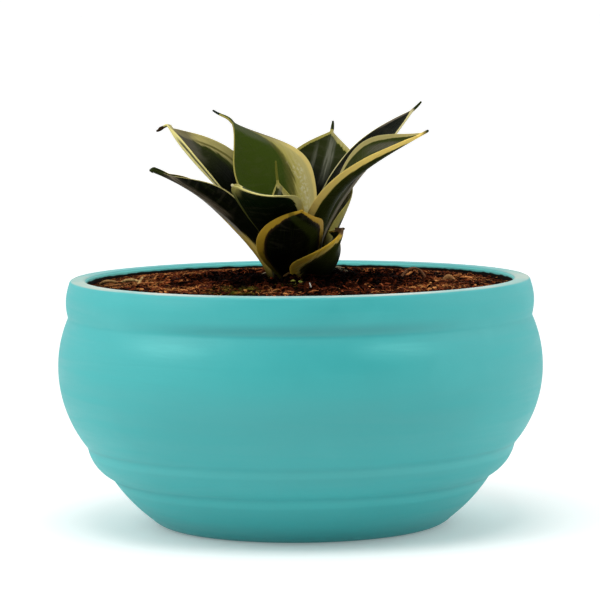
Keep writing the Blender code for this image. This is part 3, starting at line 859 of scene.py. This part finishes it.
soil = {
    "top": 117.0, "clearance": 0.3, "edgeDrop": 1.8, "edgeWidth": 11, "calmWidth": 26, "calm": 0.4,
    "capAtWall": 116.9, "capSlope": 0.078, "underCap": 0.5,  # nothing rises over a cap that is higher inwards
    "lumps": ((10, 3.0), (4.8, 2.8), (2.3, 1.1)),  # size and height of each layer of lumps
    "lumpMiddle": 0.4, "lumpShift": 3.7, "mound": 1.8, "moundRadius": 27,
    "rings": 120, "ringCrowding": 0.9, "spokes": 400, "wallStep": 8,
    # place, radii and height of each hollow and hump
    "swells": ((55, 12, 7, 14, -3.4), (37, 38, 10, 20, -3.4), (38, -14, 12, 9, 1.8), (-50, -18, 14, 10, 1.4),
               (72, -16, 12, 10, 1.2), (-84, 0, 14, 14, 0.8), (-20, 40, 16, 18, -1.4)),
    "dark": (0.003, 0.001, 0.0006), "brown": (0.050, 0.011, 0.004), "red": (0.160, 0.030, 0.009),
    "tan": (0.33, 0.085, 0.024), "golden": (0.68, 0.28, 0.082), "moss": (0.11, 0.10, 0.010),
    "steps": {"dark": 0.10, "brown": 0.38, "red": 0.60, "tan": 0.80, "golden": 1.0},
    # what is added to a tint: a painted shadow near the plant, painted shade low down and painted light high
    # up, and painted shade in front, just behind the lip
    "plantShadow": (20, 90, -1.0, 0.09), "depthShade": (-1.7, 2.0, -0.75, 0.34),
    "front": (-52, -72, 0.0, -0.35), "frontSides": (60, 85, 1, 0), "drift": 1.8,
    # noises: scale, detail and, for the tone, roughness
    "toneGrain": (420.0, 5, 0.65), "patchGrain": (60.0, 3), "driftGrain": (80.0, 3), "spotGrain": (160.0, 2),
    "fibreGrain": (1500.0, 2), "bump": 1.2, "fibreBump": 0.12,
    "brownTone": (0.4, 0.68), "redPatch": (0.5, 0.7, 0, 0.5), "hollow": (-0.5, 1.5, 1.0, 0.0),
    "spots": (0.42, 0.58), "spotDepth": (-1.2, 0.8), "patchCore": 0.3,
    # place, radius, colour and amount of each tinted patch
    "patches": ((-30, -62, 20, "moss", 0.7), (-9, -48, 12, "moss", 0.55), (36, -20, 13, "red", 0.85),
                (-48, -26, 16, "red", 0.6), (55, 5, 6, "dark", 0.3), (-86, -6, 22, "golden", 0.5),
                (80, -30, 24, "tan", 0.35)),
    "wallCalm": (14, 3), "leastFree": 0.4, "wallGap": 0.4,  # the coir's, near the wall
    "scales": (0.45, 1.5), "swirlScale": 230.0, "swirlMiddle": (0.5, 0.5, 0.46),
}

# The layers of coir. The density counts pieces for each square metre, and the tints pick from dark to
# golden. The crumbs are no strands, so they have no width, squash, arch or points.
coirInputs = ("Density", "Size", "Width", "Squash", "Arch", "Tilt", "Wiggle", "Lift", "Points", "Seed",
              "Tint Low", "Tint High")
coir = {
    "strands": (116000.0, 4.2, 0.68, 0.5, 0.24, 0.85, 1.0, 0.4, 6, 3, -0.15, 0.8),
    "threads": (36000.0, 6.5, 0.2, 1.0, 0.3, 0.6, 1.6, 0.7, 6, 8, 0.1, 0.95),
    "chips": (52000.0, 3.4, 1.5, 0.35, 0.12, 1.0, 0.6, 0.6, 4, 14, -0.1, 0.9),
    "ribbons": (1600.0, 12.0, 0.4, 0.8, 0.15, 0.25, 3.0, 0.6, 14, 21, 0.2, 0.9),
    "crumbs": (44000.0, 2.6, 0.0, 0.0, 0.0, 3.0, 1.6, 0.2, 0, 5, -0.2, 0.6),
}
curls = ((0.16, -0.14), (-0.22, -0.18), (0.08, 0.28))  # how far each strand's two handles lie aside
crumbSquashes = ((1, 0.8, 0.6), (0.7, 1.1, 0.5), (1.2, 0.6, 0.4))

litter = {"sides": 8, "steps": 14, "upright": (0.05, 1, 0.05), "pieces": (
    # the points that each piece bends along, its radius along them, its flatness and its colour
    (((49, 1, 116), (50, 6, 126), (61, 10, 126), (62, 2, 116)), (0.7, 0.5, 0.6), 0.9, (0.20, 0.085, 0.035)),
    (((-1, -30, 116), (-1, -30, 118.1), (-2, -29, 119.5)), (0.45, 0.4, 0.35), 1, (0.30, 0.33, 0.06)),
    (((-1.6, -29, 119.1), (-3.6, -29, 121.9), (-4.8, -30, 118.6)), (0.2, 1.6, 0.2), 0.4, (0.42, 0.42, 0.07)),
    (((-1.8, -29, 119.1), (0.4, -29, 121.2), (1.8, -30, 118.9)), (0.2, 1.2, 0.2), 0.4, (0.34, 0.38, 0.06)),
    (((2.4, -34, 117.5), (4, -36, 120.6), (6, -34, 117.7)), (0.5, 1.5, 0.6), 0.7, (0.58, 0.44, 0.20)),
    (((-8, -16.5, 121.8), (-4, -18.5, 123.8), (0, -17.5, 125.6)), (0.3, 1.5, 0.5), 0.4, (0.20, 0.11, 0.03)),
    (((5, -48, 116.8), (5.6, -50, 119), (4.6, -49, 121.4)), (0.35, 0.4, 0.2), 1, (0.78, 0.74, 0.64)),
    (((0, -42, 117.4), (1.2, -43, 120.4), (3.2, -44, 118.4)), (0.25, 0.35, 0.2), 1, (0.66, 0.60, 0.46)),
    (((-21, 30, 117), (-16, 36, 122.6), (-11, 26, 117.6)), (0.3, 0.35, 0.2), 1, (0.42, 0.34, 0.22)),
    (((-19, 8, 117.6), (-15, 16, 122.4), (-10, 8, 118)), (0.3, 0.3, 0.2), 1, (0.40, 0.32, 0.20)),
    (((13, 42, 118), (18, 46, 123), (24, 44, 119)), (0.4, 1.8, 0.4), 0.3, (0.50, 0.42, 0.27)),
    (((-88, 5, 117.4), (-82, 0, 121.4), (-76, -7, 118)), (0.4, 0.9, 0.3), 0.45, (0.62, 0.40, 0.15)),
    (((-79, -15, 116.8), (-77, -11, 120.6), (-76, -4, 121.4)), (0.4, 0.8, 0.3), 0.5, (0.55, 0.34, 0.12)),
    (((-98, 5, 117), (-94, 1, 120.2), (-89, 3, 117.8)), (0.4, 0.8, 0.4), 0.5, (0.48, 0.28, 0.10)),
    (((69, -9, 117), (72, -6, 123), (75, -9, 118)), (0.9, 1.6, 0.7), 0.6, (0.42, 0.20, 0.07)),
)}


def swellsAt(x, y, sign):
    return sum(rise * math.exp(-((x - px) / wide) ** 2 - ((y - py) / deep) ** 2)
               for px, py, wide, deep, rise in soil["swells"] if rise * sign > 0)


def nearWall(toWall, width):
    # 1 at the wall of the pot, and 0 at the width and farther in
    return (1 - min(1, max(0, toWall / width))) ** 2


def soilLevel(x, y):
    # Height of the soil over the pot's foot in millimetres, without its lumps and hollows
    radius = math.hypot(x, y)
    height = soil["top"] + soil["mound"] * math.exp(-(radius / soil["moundRadius"]) ** 4)
    height -= soil["edgeDrop"] * nearWall(pot["lipInner"] - radius, soil["edgeWidth"])
    return height + swellsAt(x, y, 1)


def soilLumps(x, y):
    # What the lumps and the hollows add to the level
    toWall = pot["lipInner"] - math.hypot(x, y)
    restless = 1 - (1 - soil["calm"]) * nearWall(toWall, soil["calmWidth"])
    height = swellsAt(x, y, -1)
    for index, (size, rise) in enumerate(soil["lumps"]):
        lump = 2 * abs(noise.noise(Vector((x / size, y / size, soil["lumpShift"] * index))))
        height += restless * rise * (lump - soil["lumpMiddle"])
    cap = soil["capAtWall"] + soil["capSlope"] * toWall - soil["underCap"]
    return min(height, cap - soilLevel(x, y))


def soilMaterial():
    material, shader = newMaterial("coirMix", 0.95, 0.02)
    place = objectCoords(material)
    tone = grain(place, *soil["toneGrain"])
    colour = blend(ramp(tone, *soil["brownTone"]), soil["dark"], soil["brown"])
    colour = blend(ramp(grain(place, *soil["patchGrain"]), *soil["redPatch"]), colour, soil["red"])
    # Painted shade in the hollows between the lumps
    colour = blend(rampMm(carried(material, "depth", "Fac"), *soil["hollow"]), colour, soil["dark"])
    plugIn(colour, shader["Base Color"])
    addBump(shader, tone, soil["bump"] * mm)
    return material


def coirMaterial():
    # Each strand has its own tint. The tints drift over the pot, with a painted shadow near the plant,
    # painted shade low down and just behind the lip in front, and painted light high up.
    material, shader = newMaterial("coirFibre", 0.9, 0.02)
    place = objectCoords(material)
    x, y, _ = split(place)
    depth = carried(material, "depth", "Fac")
    drift = (grain(place, *soil["driftGrain"]) - 0.5) * soil["drift"]
    front = rampMm(y, *soil["front"]) * rampMm(abs(x), *soil["frontSides"])
    value = carried(material, "tint", "Fac") + drift + front
    value = value + rampMm(fromAxis(place), *soil["plantShadow"]) + rampMm(depth, *soil["depthShade"])
    colour = addNode(place, "ShaderNodeValToRGB", {"Fac": value})
    bands = colour.socket.node.color_ramp.elements
    while len(bands) < len(soil["steps"]):
        bands.new(0.5)
    for element, (key, spot) in zip(bands, soil["steps"].items()):
        element.position = spot
        element.color = (*soil[key], 1)
    spotty = ramp(grain(place, *soil["spotGrain"]), *soil["spots"]) * rampMm(depth, *soil["spotDepth"])
    for px, py, reach, key, amount in soil["patches"]:
        away = calc("DISTANCE", place, (px * mm, py * mm, soil["top"] * mm))
        patch = rampMm(away, soil["patchCore"] * reach, reach, amount, 0.0)
        colour = blend(patch * spotty, colour, soil[key])
    plugIn(colour, shader["Base Color"])
    addBump(shader, grain(place, *soil["fibreGrain"]), soil["fibreBump"] * mm)
    return material


def buildSoilBody():
    edge, count = pot["lipInner"] - soil["clearance"], soil["rings"] * soil["spokes"]
    radii = np.linspace(0, 1, soil["rings"] + 1)[1:] ** soil["ringCrowding"] * edge
    top = [(radius, soil["top"]) for radius in radii]
    shrunk = [(radius - soil["clearance"], height) for radius, height in innerWall()]
    wall = evenPoints([(edge, soil["top"] - 3)] + shrunk, soil["wallStep"])
    mesh = turnedMesh("soilBody", np.concatenate([top, wall]), soil["spokes"])
    depth = mesh.attributes.new("depth", "FLOAT", "POINT")
    for index in [*range(count), len(mesh.vertices) - 2]:
        x, y, _ = mesh.vertices[index].co / mm
        lumps = soilLumps(x, y)
        mesh.vertices[index].co.z = (soilLevel(x, y) + lumps) * mm
        depth.data[index].value = lumps * mm
    mesh.materials.append(soilMaterial())
    finishPiece(newObject("soilBody", mesh), "coir_mix", "soil")

    # The top alone, which the coir is strewn on
    verts = [tuple(v.co) for v in mesh.vertices[:count]]
    faces = [tuple(p.vertices) for p in mesh.polygons if max(p.vertices) < count]
    ground = newMesh("soilTop", verts, faces)
    storeValues(ground, "level", [soilLevel(x / mm, y / mm) * mm for x, y, _ in verts])
    return ground


def scatterTree(name, makeShapes, reals=(), wholes=()):
    # Strews shapes on the soil, turned and scaled at random, each with a tint of its own.
    reals = ("Density", "Size", "Tilt", "Wiggle", "Lift", "Tint Low", "Tint High", *reals)
    tree, given = newTree(name, reals, ("Seed", *wholes))

    def draw(low, high, shift):
        inputs = {"Min": low, "Max": high, "Seed": given["Seed"] + shift}
        return addNode(tree, "FunctionNodeRandomValue", inputs, data_type="FLOAT")

    # Near the wall the pieces are smaller, lie flatter and wave less.
    position = addNode(tree, "GeometryNodeInputPosition")
    x, y, z = split(position)
    radius = fromAxis(position)
    calmFrom, calmTo = (pot["lipInner"] - width for width in soil["wallCalm"])
    free = rampMm(radius, calmFrom, calmTo, 1.0, soil["leastFree"])
    tilt = given["Tilt"] * free
    turn = combine(draw(-1.0, 1.0, 1) * tilt, draw(-1.0, 1.0, 2) * tilt, draw(0.0, 2 * math.pi, 3))
    scale = draw(*soil["scales"], 4) * given["Size"] * free
    rise = draw(0.0, 1.0, 5) * given["Lift"] * free
    tint = draw(given["Tint Low"], given["Tint High"], 6)

    shape = addNode(tree, "GeometryNodeDistributePointsOnFaces",
                    {"Mesh": given["Geometry"], "Density": given["Density"], "Seed": given["Seed"]})
    shape = addNode(tree, "GeometryNodeSetPosition", {"Geometry": shape, "Offset": combine(0.0, 0.0, rise)})
    shape = addNode(tree, "GeometryNodeInstanceOnPoints", {
        "Points": shape, "Instance": makeShapes(tree, given), "Pick Instance": True,
        "Rotation": addNode(tree, "FunctionNodeEulerToRotation", {"Euler": turn}), "Scale": scale})
    shape = keepAttribute(shape, "tint", tint, "FLOAT", "INSTANCE")
    shape = addNode(tree, "GeometryNodeRealizeInstances", {"Geometry": shape})
    swirl = grain(position, soil["swirlScale"], 1.0, 0.5).named("Color") - soil["swirlMiddle"]
    waved = {"Geometry": shape, "Offset": swirl * (given["Wiggle"] * free)}
    shape = addNode(tree, "GeometryNodeSetPosition", waved)
    # Nothing reaches into the wall of the pot or over the cap.
    inward = calc("MINIMUM", 1.0, calc("DIVIDE", (pot["lipInner"] - soil["wallGap"]) * mm, radius))
    cap = (pot["lipInner"] * mm - radius) * soil["capSlope"] + soil["capAtWall"] * mm
    held = {"Geometry": shape, "Position": combine(x * inward, y * inward, calc("MINIMUM", z, cap))}
    shape = addNode(tree, "GeometryNodeSetPosition", held)
    # How far each point lies over the level of the soil, which the material reads
    level = {"Mesh": given["Geometry"], "Value": readAttribute(tree, "level", "FLOAT")}
    under = addNode(tree, "GeometryNodeSampleNearestSurface", level | {"Sample Position": position},
                    data_type="FLOAT")
    endTree(tree, keepAttribute(shape, "depth", z - under, "FLOAT"), given["Material"])
    return tree


def gather(tree, shapes):
    # Each shape becomes an instance, to be picked at random.
    gathered = addNode(tree, "GeometryNodeJoinGeometry")
    for shape in shapes:
        packed = addNode(tree, "GeometryNodeGeometryToInstance", {"Geometry": shape})
        plugIn(packed, gathered.socket.node.inputs[0])
    return gathered


def strandShapes(tree, given):
    # Strands of length 1, each with another curl
    circle = {"Resolution": 3, "Radius": given["Width"] / given["Size"] * 0.5}
    section = addNode(tree, "GeometryNodeTransform", {
        "Geometry": addNode(tree, "GeometryNodeCurvePrimitiveCircle", circle),
        "Scale": combine(1.0, given["Squash"], 1.0)})
    strands = []
    for first, second in curls:
        line = addNode(tree, "GeometryNodeCurvePrimitiveBezierSegment", {
            "Start": (-0.5, 0, 0), "Start Handle": combine(-0.2, first, given["Arch"]),
            "End Handle": combine(0.2, second, given["Arch"]), "End": (0.5, 0, 0)})
        even = addNode(tree, "GeometryNodeResampleCurve", {"Curve": line, "Count": given["Points"]})
        tube = {"Curve": even, "Profile Curve": section, "Fill Caps": True}
        strands.append(addNode(tree, "GeometryNodeCurveToMesh", tube))
    return gather(tree, strands)


def crumbShapes(tree, _):
    # Crumbs of soil, each squashed another way
    ball = addNode(tree, "GeometryNodeMeshIcoSphere", {"Radius": 0.5, "Subdivisions": 2})
    return gather(tree, [addNode(tree, "GeometryNodeTransform", {"Geometry": ball, "Scale": squash})
                         for squash in crumbSquashes])


def buildCoir(ground):
    material = coirMaterial()
    strandTree = scatterTree("coirStrands", strandShapes, ("Width", "Squash", "Arch"), ("Points",))
    crumbTree = scatterTree("coirCrumbs", crumbShapes)
    for name, values in coir.items():
        settings = dict(zip(coirInputs, values)) | {"Material": material}
        for key in ("Size", "Width", "Wiggle", "Lift"):
            settings[key] *= mm
        tree = crumbTree if name == "crumbs" else strandTree
        finishPiece(growMesh(ground, tree, settings, "coir_" + name), "coir_mix")


def litterMaterial():
    material, shader = newMaterial("litter", 0.8, 0.15)
    place = objectCoords(material)
    mottle = ramp(grain(place, 700.0, 3), 0.42, 0.66, 0.0, 0.6)
    own = carried(material, "litterColour", "Color")
    plugIn(blend(mottle, own, soil["brown"]), shader["Base Color"])
    addBump(shader, grain(place, 900.0, 3), 0.5 * mm)
    return material


def buildLitter():
    sides, steps = litter["sides"], litter["steps"]
    share = np.linspace(0, 1, steps + 1)
    turn = np.arange(sides) * 2 * math.pi / sides
    cosine, sine = np.cos(turn)[None, :, None], np.sin(turn)[None, :, None]
    verts, faces, colours = [], [], []
    for points, radii, squash, colour in litter["pieces"]:
        line = np.stack([steer(axis, share) for axis in zip(*points)], 1)
        forward = np.gradient(line, axis=0)
        forward /= np.linalg.norm(forward, axis=1)[:, None]
        side = np.cross(forward, litter["upright"])
        side /= np.linalg.norm(side, axis=1)[:, None]
        ring = side[:, None] * cosine + np.cross(side, forward)[:, None] * sine * squash
        first = len(verts)
        last = first + steps * sides
        verts += (line[:, None] + ring * steer(radii, share)[:, None, None]).reshape(-1, 3).tolist()
        for low in range(first, last, sides):
            for k in range(sides):
                here, there = low + k, low + (k + 1) % sides
                faces.append((here, there, there + sides, here + sides))
        faces += [tuple(range(first, first + sides))[::-1], tuple(range(last, last + sides))]
        colours += [(*colour, 1)] * (len(verts) - first)
    mesh = newMesh("litter", (np.array(verts) * mm).tolist(), faces)
    storeValues(mesh, "litterColour", colours, "FLOAT_COLOR", "color")
    mesh.shade_smooth()
    mesh.materials.append(litterMaterial())
    finishPiece(newObject("litter", mesh), "coir_mix")


buildCoir(buildSoilBody())
buildLitter()
print("soil done")


# The crown that the leaves grow from, under the soil

crown = {
    "top": 111.7, "radius": 14.2, "depth": 15, "edge": 0.7, "waist": 0.84, "bottom": 0.3, "segments": 64,
    "brown": (0.35, 0.22, 0.10), "dark": (0.20, 0.10, 0.04), "ring": (0.45, 0.33, 0.18), "ringAmount": 0.4,
}


def buildCrown():
    radius, edge, top, bottom = crown["radius"], crown["edge"], crown["top"], crown["top"] - crown["depth"]
    side = arc((radius, top - edge), (radius * crown["waist"], (top + bottom) / 2),
               (radius * crown["bottom"], bottom + edge), 16)
    profile = np.array([(radius - edge, top)] + side + [(1, bottom)])
    material, shader = newMaterial("rootstockSkin", 0.8, 0.15)
    place = objectCoords(material)
    inputs = {"Vector": place, "Scale": 120.0, "Distortion": 4.0}
    rings = addNode(place, "ShaderNodeTexWave", inputs, bands_direction="Z").named("Fac")
    colour = blend(ramp(grain(place, 160.0, 4), 0.35, 0.65), crown["brown"], crown["dark"])
    plugIn(blend(rings * crown["ringAmount"], colour, crown["ring"]), shader["Base Color"])
    addBump(shader, rings, 0.6 * mm)
    mesh = turnedMesh("crownBody", profile, crown["segments"])
    mesh.materials.append(material)
    finishPiece(newObject("crownBody", mesh), "rootstock", "crown")


buildCrown()
print("crown done")
